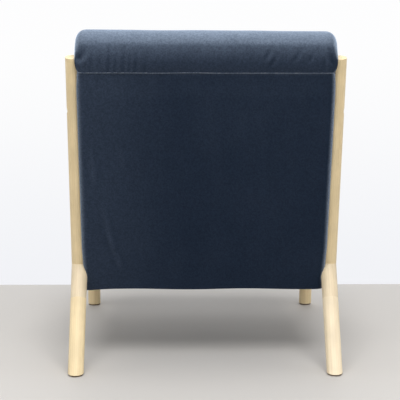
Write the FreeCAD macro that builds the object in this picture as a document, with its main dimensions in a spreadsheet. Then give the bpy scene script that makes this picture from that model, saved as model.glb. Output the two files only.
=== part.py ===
import FreeCAD, Part
import math
import os
import re
import Sketcher

# A lounge armchair: two round wooden side frames with an upholstered seat and back between them.
# Millimetres and degrees. +Z is up, the sitter faces -Y, and the origin is on the floor below the
# middle of the chair. Left is the sitter's left, at +X. The back and the seat each have leaning axes
# that start at the knees, where the posts meet the rear legs.

V = FreeCAD.Vector
BACK = "post_lean"
SEAT = "seat_slope"
EDGE_STEPS = 4
CROWN_STEPS = 5
CROWN_SHARE = 0.85
BEHIND_SHARE = 0.4

# Driving sizes
SIZES = {
    # Whole chair
    "overall_width": 700,
    "overall_depth": 780,
    # Rear legs and back posts
    "knee_height": 250,
    "knee_radius": 21,
    "knee_block_length": 100,
    "rear_leg_lean": 35,
    "rear_foot_radius": 20,
    "post_lean": 14.5,
    "post_length": 568,
    "post_top_radius": 18,
    # Front legs, elbows, arms and side rails
    "front_foot_setback": 27,
    "front_foot_radius": 19,
    "front_leg_lean": 8.7,
    "arm_front_height": 585,
    "arm_rise": 2.8,
    "arm_radius": 18,
    "arm_end_radius": 17,
    "elbow_bend": 55,
    "side_rail_radius": 18,
    "seat_slope": 7,
    # Dowels and glides
    "dowel_radius": 5,
    "dowel_length": 50,
    "dowel_depth": 12,
    "dowel_clearance": 0.1,
    "dowel_end_gap": 1,
    "glide_thickness": 4.5,
    "glide_inset": 1.5,
    "glide_taper": 1,
    # Bolts and insert nuts
    "bolt_radius": 4,
    "bolt_length": 47,
    "bolt_seat": 10,
    "bolt_clearance": 0.25,
    "bolt_head_radius": 8.5,
    "bolt_head_height": 4,
    "bolt_head_clearance": 0.5,
    "bolt_socket_radius": 3,
    "bolt_socket_depth": 3,
    "insert_radius": 6.5,
    "insert_length": 15,
    "thread_clearance": 0.05,
    "seat_bolt_rear": 130,
    "seat_bolt_setback": 85,
    "post_bolt_height": 430,
    # Inner frame of the seat and back
    "soft_clearance": 0.5,
    "side_panel_thickness": 4,
    "board_thickness": 25,
    "stile_width": 26,
    "stile_depth": 45.5,
    "back_rail_height": 60,
    "mid_rail_height": 230,
    "seat_box_height": 90,
    "seat_box_drop": 50,
    "corner_block_leg": 60,
    "corner_block_height": 40,
    "strap_width": 50,
    "strap_thickness": 1.5,
    "seat_long_straps": 6,
    "seat_cross_straps": 5,
    "back_straps": 6,
    "dust_cover_thickness": 1.5,
    "dust_cover_margin": 4,
    # Upholstery
    "panel_thickness": 8,
    "panel_edge_round": 5,
    "panel_overlap": 9,
    "panel_drop": 62.5,
    "panel_notch_gap": 3,
    "frame_lift": 17.5,
    "seam_height": 537,
    "roll_height": 90.5,
    "roll_bulge": 3,
    "roll_shoulder": 18,
    "roll_end_round": 26,
    "roll_overhang": 5,
    "roll_post_gap": 1,
    "back_pad_thickness": 62,
    "back_pad_crown": 30,
    "back_pad_low": 43,
    "seat_pad_thickness": 80,
    "seat_pad_crown": 30,
    "seat_overhang": 18,
    "border_thickness": 7,
    "pad_edge_round": 24,
    "pad_foot_round": 8,
    "pad_draw": 6,
    "pad_corner": 45,
}

# Sizes worked out from the driving ones
LAYOUT = {
    # Points of the side frame, seen from the side
    "member_x": "overall_width / 2 - knee_radius",
    "knee_turn": "rear_leg_lean + post_lean",
    "knee_forward": "knee_height * tan(rear_leg_lean)",
    "back_plane": "knee_radius + soft_clearance",
    "panel_back": "back_plane + panel_thickness",
    "roll_middle": "seam_height + roll_height * 0.45",
    "roll_reach": "roll_middle * sin(post_lean) + (panel_back + roll_bulge) * cos(post_lean)",
    "foot_forward": "(knee_height - glide_thickness) * tan(rear_leg_lean)",
    "foot_reach": "foot_forward + rear_foot_radius / cos(rear_leg_lean)",
    "knee_y": "overall_depth / 2 - max(roll_reach; foot_reach)",
    "rear_foot_y": "knee_y + knee_forward",
    "leg_length": "knee_height / cos(rear_leg_lean)",
    "leg_taper": "(knee_radius - rear_foot_radius) / leg_length",
    "block_y": "knee_y + knee_block_length * sin(rear_leg_lean)",
    "block_z": "knee_height - knee_block_length * cos(rear_leg_lean)",
    "block_radius": "knee_radius - leg_taper * knee_block_length",
    "post_taper": "(knee_radius - post_top_radius) / post_length",
    "front_foot_y": "front_foot_setback - overall_depth / 2",
    "corner_y": "front_foot_y + arm_front_height * tan(front_leg_lean)",
    "elbow_turn": "90 - front_leg_lean + arm_rise",
    "elbow_tangent": "elbow_bend * tan(elbow_turn / 2)",
    "front_leg_length": "arm_front_height / cos(front_leg_lean) - elbow_tangent",
    "front_leg_taper": "(front_foot_radius - arm_radius) / front_leg_length",
    "front_leg_top_y": "corner_y - elbow_tangent * sin(front_leg_lean)",
    "front_leg_top_z": "arm_front_height - elbow_tangent * cos(front_leg_lean)",
    "arm_y": "corner_y + elbow_tangent * cos(arm_rise)",
    "arm_z": "arm_front_height - elbow_tangent * sin(arm_rise)",
    "elbow_y": "arm_y - elbow_bend * sin(arm_rise)",
    "elbow_z": "arm_z - elbow_bend * cos(arm_rise)",
    "arm_run": "(arm_z - knee_height) * sin(post_lean) + (knee_y - arm_y) * cos(post_lean)",
    "arm_length": "arm_run / cos(post_lean - arm_rise)",
    "arm_end_y": "arm_y + arm_length * cos(arm_rise)",
    "arm_end_z": "arm_z - arm_length * sin(arm_rise)",
    "rail_run": "(knee_y - front_foot_y) * cos(front_leg_lean) - knee_height * sin(front_leg_lean)",
    "rail_length": "rail_run / cos(seat_slope - front_leg_lean)",
    "seat_bolt_front": "rail_length - seat_bolt_setback",
    "rail_end_y": "knee_y - rail_length * cos(seat_slope)",
    "rail_end_z": "knee_height + rail_length * sin(seat_slope)",
    # Back, measured rearward and upward from the knees along the posts
    "stile_front": "back_plane - stile_depth",
    "back_half_width": "member_x - knee_radius - soft_clearance",
    "frame_half_width": "back_half_width - side_panel_thickness",
    "frame_low": "frame_lift - panel_drop",
    "panel_half_width": "member_x - knee_radius + panel_overlap",
    "roll_half_width": "panel_half_width + roll_overhang",
    "panel_notch": "knee_radius / sin(knee_turn) - back_plane / tan(knee_turn) + panel_notch_gap",
    "back_pad_rear": "stile_front - strap_thickness - soft_clearance",
    "back_pad_front": "back_pad_rear - back_pad_thickness - back_pad_crown",
    # Seat, measured rearward and upward from the knees along the side rails
    "lean_gap": "post_lean - seat_slope",
    "seat_half_width": "member_x - max(side_rail_radius; front_foot_radius) - soft_clearance",
    "seat_low": "-seat_box_drop",
    "seat_top": "seat_box_height - seat_box_drop",
    "seat_pad_low": "seat_top + 2 * strap_thickness + soft_clearance",
    "seat_pad_full": "seat_pad_low + pad_foot_round",
    "seat_front_run": "overall_depth / 2 + knee_y + seat_pad_full * sin(seat_slope)",
    "seat_front": "-seat_front_run / cos(seat_slope)",
    "border_front": "seat_front + seat_overhang",
    "rail_front": "border_front + border_thickness",
    "seat_inner_front": "rail_front + board_thickness",
    "seat_rear": "(stile_front + seat_low * sin(lean_gap)) / cos(lean_gap) - board_thickness",
    "dust_cover_gap": "back_plane - soft_clearance + seat_low * sin(lean_gap)",
    "dust_cover_rear": "dust_cover_gap / cos(lean_gap)",
    # Cutting blocks
    "cutter": "4 * knee_radius",
}

doc = FreeCAD.newDocument("lounge_armchair")
sheet = doc.addObject("Spreadsheet::Sheet", "Sizes")
nodes = []


def fill_sheet():
    """Write the driving sizes as numbers and the worked-out ones as formulas, each with an alias."""
    cells = [(name, str(value)) for name, value in SIZES.items()]
    cells += [(name, "=" + text) for name, text in LAYOUT.items()]
    for row, (name, text) in enumerate(cells, 1):
        sheet.set(f"A{row}", name)
        sheet.set(f"B{row}", text)
        sheet.setAlias(f"B{row}", name)
    doc.recompute()


def size(name):
    """A size's value, for the forms that are worked out point by point."""
    return float(sheet.get(name))


def formula(text):
    """An expression of plain size names, as the document reads it."""
    known = SIZES.keys() | LAYOUT.keys()
    return re.sub(r"[a-z]\w*", lambda word: "Sizes." + word[0] if word[0] in known else word[0], text)


def bind(obj, formulas):
    """Tie properties of an object to formulas of sizes."""
    for prop, text in formulas.items():
        obj.setExpression(prop, formula(text))


def node(obj, label):
    """Name a finished sub-part."""
    obj.Label = label
    nodes.append(obj)
    return obj


def mirror(obj):
    """The same piece on the sitter's right."""
    other = doc.addObject("Part::Mirroring", obj.Name + "_mirror")
    other.Source = obj
    other.Normal = V(1, 0, 0)
    return other


def pair(obj, label):
    """Name a left piece and make its right one."""
    node(obj, label + "_left")
    node(mirror(obj), label + "_right")


def bunch(name, pieces):
    """Several solids kept together."""
    group = doc.addObject("Part::Compound", name)
    group.Links = pieces
    return group


def cut(base, *tools):
    """Take the tools out of a piece, one after the other."""
    for tool in tools:
        result = doc.addObject("Part::Cut", f"{base.Name}_less_{tool.Name}")
        result.Base = base
        result.Tool = tool
        base = result
    return base


def place(obj, x, y, z, lean):
    """Put an object at a point and lean it about the X axis."""
    obj.Placement = FreeCAD.Placement(V(), FreeCAD.Rotation(V(1, 0, 0), 1))
    bind(obj, {"Placement.Base.x": x, "Placement.Base.y": y, "Placement.Base.z": z})
    bind(obj, {"Placement.Rotation.Angle": lean})


def leaning_point(lean, rearward, upward):
    """Formulas for y and z of a point on the back's or the seat's axes."""
    y = f"knee_y + ({upward}) * sin({lean}) + ({rearward}) * cos({lean})"
    z = f"knee_height + ({upward}) * cos({lean}) - ({rearward}) * sin({lean})"
    return y, z


def place_on(obj, lean, x, rearward, upward):
    """Put an object on the back's or the seat's axes."""
    y, z = leaning_point(lean, rearward, upward)
    place(obj, x, y, z, f"-{lean}")


def stick(name, y, z, lean, length, start_radius, end_radius):
    """A round tapered stick of the left side frame, from a point along its lean."""
    cone = doc.addObject("Part::Cone", name)
    bind(cone, {"Height": length, "Radius1": start_radius, "Radius2": end_radius})
    place(cone, "member_x", y, z, lean)
    return cone


def block(name, lean, x, rearward, upward, length, width, height):
    """A rectangular block on the back's or the seat's axes, from its low front corner."""
    box = doc.addObject("Part::Box", name)
    bind(box, {"Length": length, "Width": width, "Height": height})
    place_on(box, lean, x, rearward, upward)
    return box


def mitre_cutter(name, depth_below):
    """A block with one face on the knee's mitre plane, reaching down from it by the given depth."""
    tilt = "(rear_leg_lean - post_lean) / 2"
    box = doc.addObject("Part::Box", name)
    bind(box, {"Length": "cutter", "Width": "cutter", "Height": "cutter"})
    y = f"knee_y - cutter / 2 * cos({tilt}) + ({depth_below}) * sin({tilt})"
    z = f"knee_height - cutter / 2 * sin({tilt}) - ({depth_below}) * cos({tilt})"
    place(box, "member_x - cutter / 2", y, z, tilt)
    return box


def sketch_on(body, role, name):
    """A sketch on one of a body's own origin planes."""
    plane = next(item for item in body.Origin.OriginFeatures if item.Role == role)
    sketch = body.newObject("Sketcher::SketchObject", name)
    sketch.AttachmentSupport = (plane, [""])
    sketch.MapMode = "FlatFace"
    return sketch


def polygon(sketch, corners):
    """A closed outline whose corners are bound to formulas across and up the sketch."""
    count = len(corners)
    start = [V(math.cos(math.tau * i / count), math.sin(math.tau * i / count), 0) for i in range(count)]
    for i in range(count):
        sketch.addGeometry(Part.LineSegment(start[i], start[(i + 1) % count]))
    for i in range(count):
        sketch.addConstraint(Sketcher.Constraint("Coincident", i, 2, (i + 1) % count, 1))
    for i, (across, up) in enumerate(corners):
        for kind, text, value in (("DistanceX", across, start[i].x), ("DistanceY", up, start[i].y)):
            index = sketch.addConstraint(Sketcher.Constraint(kind, -1, 1, i, 1, value))
            sketch.setExpression(f"Constraints[{index}]", formula(text))


# Side frames


def make_dowels():
    """Dowels across the left frame's joints, and the holes they sit in."""
    half = "dowel_length / 2"
    joints = {
        "knee": ("knee_y", "knee_height", "(rear_leg_lean - post_lean) / 2", half),
        "leg": ("block_y", "block_z", "rear_leg_lean", half),
        "arm": ("arm_y", "arm_z", "-90 - arm_rise", half),
        "elbow": ("front_leg_top_y", "front_leg_top_z", "-front_leg_lean", half),
        "post": ("arm_end_y", "arm_end_z", "90 - arm_rise", "dowel_depth - knee_radius"),
        "rail_rear": ("knee_y", "knee_height", "90 - seat_slope", "dowel_depth - knee_radius"),
        "rail_front": ("rail_end_y", "rail_end_z", "-90 - seat_slope", "dowel_depth - arm_radius"),
    }
    dowels = []
    holes = []
    for joint, (y, z, lean, before) in joints.items():
        for made, gap, name in ((dowels, "0", "dowel"), (holes, "1", "dowel_hole")):
            pin = doc.addObject("Part::Cylinder", f"{joint}_{name}")
            bind(pin, {"Radius": f"dowel_radius + {gap} * dowel_clearance"})
            bind(pin, {"Height": f"dowel_length + 2 * {gap} * dowel_end_gap"})
            back = f"({before} + {gap} * dowel_end_gap)"
            place(pin, "member_x", f"{y} + {back} * sin({lean})", f"{z} - {back} * cos({lean})", lean)
            made.append(pin)
    node(bunch("dowel_set", dowels + [mirror(pin) for pin in dowels]), "frame_dowels")
    return bunch("dowel_holes", holes)


def crosswise(name, spot, x, radius, length):
    """A cylinder that runs inward from x, at a spot on the back's or the seat's axes."""
    lean, rearward, upward = spot
    cylinder = doc.addObject("Part::Cylinder", name)
    cylinder.Placement = FreeCAD.Placement(V(), FreeCAD.Rotation(V(0, 1, 0), -90))
    y, z = leaning_point(lean, rearward, upward)
    bind(cylinder, {"Placement.Base.x": x, "Placement.Base.y": y, "Placement.Base.z": z})
    bind(cylinder, {"Radius": radius, "Height": length})
    return cylinder


def make_bolts():
    """Bolts from the left frame into insert nuts in the inner frame, with the holes for both."""
    spots = {
        "seat_rear": (SEAT, "-seat_bolt_rear", "0"),
        "seat_front": (SEAT, "-seat_bolt_front", "0"),
        "post": (BACK, "0", "post_bolt_height"),
    }
    head_top = "member_x + bolt_seat + bolt_head_height"
    bolts = []
    nuts = []
    holes = []
    nut_holes = []
    for name, spot in spots.items():
        shank = crosswise(name + "_shank", spot, "member_x + bolt_seat", "bolt_radius", "bolt_length")
        head = crosswise(name + "_head", spot, head_top, "bolt_head_radius", "bolt_head_height")
        joined = doc.addObject("Part::Fuse", name + "_bolt_blank")
        joined.Base = head
        joined.Tool = shank
        key = doc.addObject("Part::Prism", name + "_key")
        key.Polygon = 6
        key.Placement = FreeCAD.Placement(V(), FreeCAD.Rotation(V(0, 1, 0), -90))
        y, z = leaning_point(*spot)
        bind(key, {"Placement.Base.x": head_top, "Placement.Base.y": y, "Placement.Base.z": z})
        bind(key, {"Circumradius": "bolt_socket_radius", "Height": "bolt_socket_depth"})
        bolts.append(cut(joined, key))

        nut = crosswise(name + "_nut", spot, "frame_half_width", "insert_radius", "insert_length")
        nut_hole = crosswise(name + "_nut_hole", spot, "frame_half_width", "insert_radius", "board_thickness")
        thread = "bolt_radius + thread_clearance"
        bore = crosswise(name + "_thread", spot, "frame_half_width", thread, "insert_length")
        nuts.append(cut(nut, bore))
        nut_holes.append(nut_hole)

        reach = "overall_width / 2"
        hole = "bolt_radius + bolt_clearance"
        recess = "bolt_head_radius + bolt_head_clearance"
        recess_depth = f"{reach} - member_x - bolt_seat"
        holes.append(crosswise(name + "_hole", spot, reach, hole, f"{reach} - frame_half_width"))
        holes.append(crosswise(name + "_recess", spot, reach, recess, recess_depth))
    node(bunch("bolt_set", bolts + [mirror(bolt) for bolt in bolts]), "frame_bolts")
    node(bunch("nut_set", nuts + [mirror(nut) for nut in nuts]), "insert_nuts")
    return bunch("bolt_holes", holes), bunch("nut_holes", nut_holes)


def make_elbow():
    """The round corner between the arm and the front leg: a circle turned about the bend's centre."""
    body = doc.addObject("PartDesign::Body", "elbow")
    section = sketch_on(body, "XY_Plane", "elbow_section")
    bend = size("elbow_bend")
    section.addGeometry(Part.Circle(V(0, bend, 0), V(0, 0, 1), size("arm_radius")))
    section.addConstraint(Sketcher.Constraint("PointOnObject", 0, 3, -2))
    middle = section.addConstraint(Sketcher.Constraint("DistanceY", -1, 1, 0, 3, bend))
    radius = section.addConstraint(Sketcher.Constraint("Radius", 0, size("arm_radius")))
    bind(section, {f"Constraints[{middle}]": "elbow_bend", f"Constraints[{radius}]": "arm_radius"})
    turn = body.newObject("PartDesign::Revolution", "elbow_turned")
    turn.Profile = section
    turn.ReferenceAxis = (section, ["H_Axis"])
    bind(turn, {"Angle": "elbow_turn"})
    place(body, "member_x", "elbow_y", "elbow_z", "90 - arm_rise")
    return body


def make_side_frames(dowel_holes, bolt_holes):
    """Posts, knees, legs, arms and rails: tapered sticks mitred at the knees and coped where they meet."""
    post = stick(
        "post_stick",
        "knee_y - knee_radius * sin(post_lean)",
        "knee_height - knee_radius * cos(post_lean)",
        "-post_lean",
        "post_length + knee_radius",
        "knee_radius * (1 + post_taper)",
        "post_top_radius",
    )
    knee = stick(
        "knee_stick",
        "block_y",
        "block_z",
        "rear_leg_lean",
        "knee_block_length + knee_radius",
        "block_radius",
        "knee_radius * (1 + leg_taper)",
    )
    rear_leg = stick(
        "rear_leg_stick",
        "rear_foot_y + rear_foot_radius * sin(rear_leg_lean)",
        "-rear_foot_radius * cos(rear_leg_lean)",
        "rear_leg_lean",
        "leg_length - knee_block_length + rear_foot_radius",
        "rear_foot_radius * (1 - leg_taper)",
        "block_radius",
    )
    front_leg = stick(
        "front_leg_stick",
        "front_foot_y - front_foot_radius * sin(front_leg_lean)",
        "-front_foot_radius * cos(front_leg_lean)",
        "-front_leg_lean",
        "front_leg_length + front_foot_radius",
        "front_foot_radius * (1 + front_leg_taper)",
        "arm_radius",
    )
    arm = stick("arm_stick", "arm_y", "arm_z", "-90 - arm_rise", "arm_length", "arm_radius", "arm_end_radius")
    rail = doc.addObject("Part::Cylinder", "rail_stick")
    bind(rail, {"Radius": "side_rail_radius", "Height": "rail_length"})
    place(rail, "member_x", "knee_y", "knee_height", "90 - seat_slope")

    floor = doc.addObject("Part::Box", "floor_cutter")
    bind(floor, {"Length": "overall_width", "Width": "2 * overall_depth", "Height": "cutter"})
    bind(floor, {"Placement.Base.y": "-overall_depth", "Placement.Base.z": "glide_thickness - cutter"})
    below_mitre = mitre_cutter("below_mitre", "cutter")
    above_mitre = mitre_cutter("above_mitre", "0")

    pair(cut(post, below_mitre, dowel_holes, bolt_holes), "back_post")
    pair(cut(knee, above_mitre, dowel_holes), "knee_block")
    pair(cut(rear_leg, floor, dowel_holes), "rear_leg")
    pair(cut(front_leg, floor, dowel_holes), "front_leg")
    pair(cut(make_elbow(), dowel_holes), "arm_corner")
    pair(cut(arm, post, dowel_holes), "armrest")
    pair(cut(rail, post, knee, front_leg, dowel_holes, bolt_holes), "side_rail")


def make_glides():
    """Tapered discs under the feet."""
    glides = []
    feet = {
        "rear": ("rear_foot_y - glide_thickness * tan(rear_leg_lean)", "rear_foot_radius"),
        "front": ("front_foot_y + glide_thickness * tan(front_leg_lean)", "front_foot_radius"),
    }
    for name, (y, radius) in feet.items():
        disc = doc.addObject("Part::Cone", name + "_glide")
        bind(disc, {"Height": "glide_thickness", "Radius2": f"{radius} - glide_inset"})
        bind(disc, {"Radius1": f"{radius} - glide_inset - glide_taper"})
        bind(disc, {"Placement.Base.x": "member_x", "Placement.Base.y": y})
        glides.append(disc)
    node(bunch("glide_set", glides + [mirror(disc) for disc in glides]), "foot_glides")


# Inner frame


def make_straps(label, count, strap):
    """A row of webbing straps, each made by a function of its place in the row, from 0 to 1."""
    straps = [strap(f"{label}_{i + 1}", (i + 0.5) / count) for i in range(count)]
    return straps


def make_back_frame(nut_holes):
    """Two stiles with three rails between them, and webbing across their fronts."""
    stile = block(
        "stile",
        BACK,
        "frame_half_width - stile_width",
        "stile_front",
        "frame_low",
        "stile_width",
        "stile_depth",
        "seam_height - frame_low",
    )
    pair(cut(stile, nut_holes), "back_stile")
    rails = {
        "back_top_rail": "seam_height - back_rail_height",
        "back_middle_rail": "mid_rail_height",
        "back_bottom_rail": "frame_low",
    }
    for label, low in rails.items():
        rail = block(
            label + "_board",
            BACK,
            "stile_width - frame_half_width",
            "back_plane - board_thickness",
            low,
            "2 * (frame_half_width - stile_width)",
            "board_thickness",
            "back_rail_height",
        )
        node(rail, label)

    def strap(name, share):
        return block(
            name,
            BACK,
            "-frame_half_width",
            "stile_front - strap_thickness",
            f"back_pad_low + {share} * (seam_height - back_pad_low) - strap_width / 2",
            "2 * frame_half_width",
            "strap_thickness",
            "strap_width",
        )

    straps = make_straps("back_strap", int(size("back_straps")), strap)
    node(bunch("back_strap_set", straps), "back_webbing")


def make_corner_blocks():
    """Triangular blocks glued into the corners of the seat box."""
    blocks = []
    inner_x = "frame_half_width - board_thickness"
    corners = {"front": ("seat_inner_front", "1"), "rear": ("seat_rear", "-1")}
    for name, (edge, way) in corners.items():
        body = doc.addObject("PartDesign::Body", name + "_corner_block")
        sketch = sketch_on(body, "XY_Plane", name + "_corner_outline")
        polygon(
            sketch,
            [
                (inner_x, edge),
                (inner_x, f"{edge} + {way} * corner_block_leg"),
                (f"{inner_x} - corner_block_leg", edge),
            ],
        )
        pad = body.newObject("PartDesign::Pad", name + "_corner_pad")
        pad.Profile = sketch
        bind(pad, {"Length": "corner_block_height"})
        place_on(body, SEAT, "0", "0", "seat_low")
        blocks.append(body)
    node(bunch("corner_block_set", blocks + [mirror(body) for body in blocks]), "seat_corner_blocks")


def make_seat_frame(nut_holes, behind_seat):
    """A box of four rails whose rear is bevelled to the back, with crossed webbing on it."""
    inner = "2 * (frame_half_width - board_thickness)"
    front = block(
        "seat_front_board",
        SEAT,
        "-frame_half_width",
        "rail_front",
        "seat_low",
        "2 * frame_half_width",
        "board_thickness",
        "seat_box_height",
    )
    node(front, "seat_front_rail")
    rear = block(
        "seat_rear_board",
        SEAT,
        "board_thickness - frame_half_width",
        "seat_rear",
        "seat_low",
        inner,
        "2 * board_thickness",
        "seat_box_height",
    )
    node(cut(rear, behind_seat), "seat_rear_rail")
    side = block(
        "seat_side_board",
        SEAT,
        "frame_half_width - board_thickness",
        "seat_inner_front",
        "seat_low",
        "board_thickness",
        "-seat_inner_front",
        "seat_box_height",
    )
    pair(cut(side, behind_seat, nut_holes), "seat_side_rail")
    make_corner_blocks()

    def long_strap(name, share):
        return block(
            name,
            SEAT,
            f"{inner} * ({share} - 0.5) - strap_width / 2",
            "rail_front",
            "seat_top",
            "strap_width",
            "seat_rear + board_thickness - rail_front",
            "strap_thickness",
        )

    def cross_strap(name, share):
        return block(
            name,
            SEAT,
            "-frame_half_width",
            f"seat_inner_front + {share} * (seat_rear - seat_inner_front) - strap_width / 2",
            "seat_top + strap_thickness",
            "2 * frame_half_width",
            "strap_width",
            "strap_thickness",
        )

    straps = make_straps("seat_long_strap", int(size("seat_long_straps")), long_strap)
    straps += make_straps("seat_cross_strap", int(size("seat_cross_straps")), cross_strap)
    node(bunch("seat_strap_set", straps), "seat_webbing")


# Upholstery


def make_outside_back():
    """The flat panel behind the posts, narrower at the foot where the legs pass it, with a soft rim."""
    body = doc.addObject("PartDesign::Body", "outside_back_panel")
    sketch = sketch_on(body, "XZ_Plane", "outside_back_outline")
    right_side = [
        ("back_half_width", "-panel_drop"),
        ("back_half_width", "panel_notch"),
        ("panel_half_width", "panel_notch + panel_overlap"),
        ("panel_half_width", "seam_height - soft_clearance"),
    ]
    left_side = [(f"-{across}", up) for across, up in reversed(right_side)]
    polygon(sketch, right_side + left_side)
    pad = body.newObject("PartDesign::Pad", "outside_back_pad")
    pad.Profile = sketch
    pad.Reversed = True
    bind(pad, {"Length": "panel_thickness"})
    doc.recompute()
    rear = max(vertex.Y for vertex in pad.Shape.Vertexes)
    rim = [
        f"Edge{i}"
        for i, edge in enumerate(pad.Shape.Edges, 1)
        if all(abs(vertex.Y - rear) < 1e-6 for vertex in edge.Vertexes)
    ]
    rounded = body.newObject("PartDesign::Fillet", "outside_back_rim")
    rounded.Base = (pad, rim)
    bind(rounded, {"Radius": "panel_edge_round"})
    place_on(body, BACK, "0", "back_plane", "0")
    node(body, "outside_back")


def make_side_covers(bolt_holes, behind_seat):
    """Velvet on the sides of the back and on the sides and front of the seat box, and the dust cover."""
    side_panel = block(
        "back_side_sheet",
        BACK,
        "frame_half_width",
        "stile_front",
        "frame_low",
        "side_panel_thickness",
        "stile_depth",
        "seam_height - frame_low",
    )
    pair(cut(side_panel, bolt_holes), "back_side_panel")
    side_border = block(
        "seat_side_sheet",
        SEAT,
        "frame_half_width",
        "rail_front",
        "seat_low",
        "seat_half_width - frame_half_width",
        "-rail_front",
        "seat_box_height + 2 * strap_thickness",
    )
    pair(cut(side_border, behind_seat, bolt_holes), "seat_side_border")
    front_border = block(
        "seat_front_sheet",
        SEAT,
        "-seat_half_width",
        "border_front",
        "seat_low",
        "2 * seat_half_width",
        "border_thickness",
        "seat_box_height + 2 * strap_thickness",
    )
    node(front_border, "seat_front_border")
    cover = block(
        "dust_cover_sheet",
        SEAT,
        "dust_cover_margin - frame_half_width",
        "rail_front + dust_cover_margin",
        "seat_low - dust_cover_thickness",
        "2 * (frame_half_width - dust_cover_margin)",
        "dust_cover_rear - rail_front - dust_cover_margin",
        "dust_cover_thickness",
    )
    node(cover, "dust_cover")


def drawn_outline(half, low, high, inset, point):
    """A rounded outline whose sides pull in between its corners; point(x, v) puts it in its plane."""
    half -= inset
    low += inset
    high -= inset
    middle = (low + high) / 2
    room = min(half, middle - low)
    draw = min(size("pad_draw"), room / 20)
    corner = min(size("pad_corner"), room / 2)
    bulge = corner * (1 - math.sqrt(0.5))
    arcs = [
        ((corner - half, low), (0, low + draw), (half - corner, low)),
        ((half - corner, low), (half - bulge, low + bulge), (half, low + corner)),
        ((half, low + corner), (half - draw, middle), (half, high - corner)),
        ((half, high - corner), (half - bulge, high - bulge), (half - corner, high)),
        ((half - corner, high), (0, high - draw), (corner - half, high)),
        ((corner - half, high), (bulge - half, high - bulge), (-half, high - corner)),
        ((-half, high - corner), (draw - half, middle), (-half, low + corner)),
        ((-half, low + corner), (bulge - half, low + bulge), (corner - half, low)),
    ]
    return Part.Wire([Part.Arc(*[point(*end) for end in arc]).toShape() for arc in arcs])


def rounding(radius):
    """Steps round a quarter circle: how far along and how far in, from the flat end to the full side."""
    turns = [math.radians(90 * step / EDGE_STEPS) for step in range(EDGE_STEPS + 1)]
    return [(radius * (1 - math.cos(turn)), radius * (1 - math.sin(turn))) for turn in turns]


def pad_layers(thickness, crown, reach):
    """Heights and insets of a pad's outlines: rounded foot and edges, upright sides and a crown on top."""
    edge = size("pad_edge_round")
    layers = rounding(size("pad_foot_round"))
    layers += [(thickness - along, inset) for along, inset in reversed(rounding(edge))]
    for step in range(1, CROWN_STEPS + 1):
        share = step / CROWN_STEPS
        layers.append((thickness + crown * (1 - (1 - share) ** 2), edge + share * (reach - edge)))
    return layers


def soft_form(name, lean, outlines):
    """A soft solid lofted through outlines on the back's or the seat's axes."""
    form = doc.addObject("Part::Feature", name)
    form.Shape = Part.makeLoft(outlines, True, True)
    turn = FreeCAD.Rotation(V(1, 0, 0), -size(lean))
    form.Placement = FreeCAD.Placement(V(0, size("knee_y"), size("knee_height")), turn)
    return form


def make_back_pad():
    """The back cushion, crowned towards the sitter."""
    rear = size("back_pad_rear")
    half = size("back_half_width")
    low = size("back_pad_low")
    high = size("seam_height") - size("soft_clearance")
    reach = CROWN_SHARE * min(half, (high - low) / 2)
    outlines = []
    for height, inset in pad_layers(size("back_pad_thickness"), size("back_pad_crown"), reach):
        outlines.append(drawn_outline(half, low, high, inset, lambda x, v: V(x, rear - height, v)))
    node(soft_form("back_pad_form", BACK, outlines), "back_pad")


def make_seat_pad():
    """The seat cushion, crowned upward, with its rear edge leaning along the back cushion."""
    base = size("seat_pad_low")
    half = size("seat_half_width")
    front = size("seat_front")
    slant = math.radians(size("lean_gap"))
    behind = size("back_pad_front") + size("back_pad_crown") * BEHIND_SHARE
    rear = (behind - size("soft_clearance")) / math.cos(slant)
    reach = CROWN_SHARE * min(half, (rear - front) / 2)
    outlines = []
    for height, inset in pad_layers(size("seat_pad_thickness"), size("seat_pad_crown"), reach):
        up = base + height
        rear_edge = rear + up * math.tan(slant)
        outlines.append(drawn_outline(half, front, rear_edge, inset, lambda x, v: V(x, v, up)))
    node(soft_form("seat_pad_form", SEAT, outlines), "seat_pad")


def roll_section(x, inset):
    """The roll's section at x: over the top from the rear seam to the front seam, and flat below."""
    low = size("seam_height") + size("soft_clearance")
    top = size("seam_height") + size("roll_height") - inset
    shoulder = size("roll_shoulder")
    rear = size("panel_back") - inset * 0.5
    front = size("back_pad_front") + size("back_pad_crown") + inset * 0.5
    middle = size("roll_middle")
    bulge = max(size("roll_bulge") - inset * 0.5, 1)
    seam_rear = V(x, rear, low)
    seam_front = V(x, front, low)
    top_rear = V(x, rear - shoulder * 0.5, top - shoulder)
    top_front = V(x, front + shoulder, top - shoulder)
    arcs = [
        (seam_rear, V(x, rear + bulge, middle), top_rear),
        (top_rear, V(x, (rear + front) / 2, top), top_front),
        (top_front, V(x, front - bulge, middle), seam_front),
    ]
    edges = [Part.Arc(*arc).toShape() for arc in arcs]
    return Part.Wire(edges + [Part.LineSegment(seam_front, seam_rear).toShape()])


def make_top_roll():
    """The roll over the top of the back, rounded at its ends and hollowed where the posts pass it."""
    half = size("roll_half_width")
    end = size("roll_end_round")
    steps = [(half - along, inset) for along, inset in rounding(end)]
    across = [(-x, inset) for x, inset in steps] + [(x, inset) for x, inset in reversed(steps)]
    form = soft_form("top_roll_form", BACK, [roll_section(x, inset) for x, inset in across])
    hollow = doc.addObject("Part::Cylinder", "post_hollow")
    bind(hollow, {"Radius": "post_top_radius + roll_post_gap"})
    bind(hollow, {"Height": "post_length - seam_height + 2 * roll_post_gap"})
    place_on(hollow, BACK, "member_x", "0", "seam_height - roll_post_gap")
    node(cut(form, hollow, mirror(hollow)), "top_roll")


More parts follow.
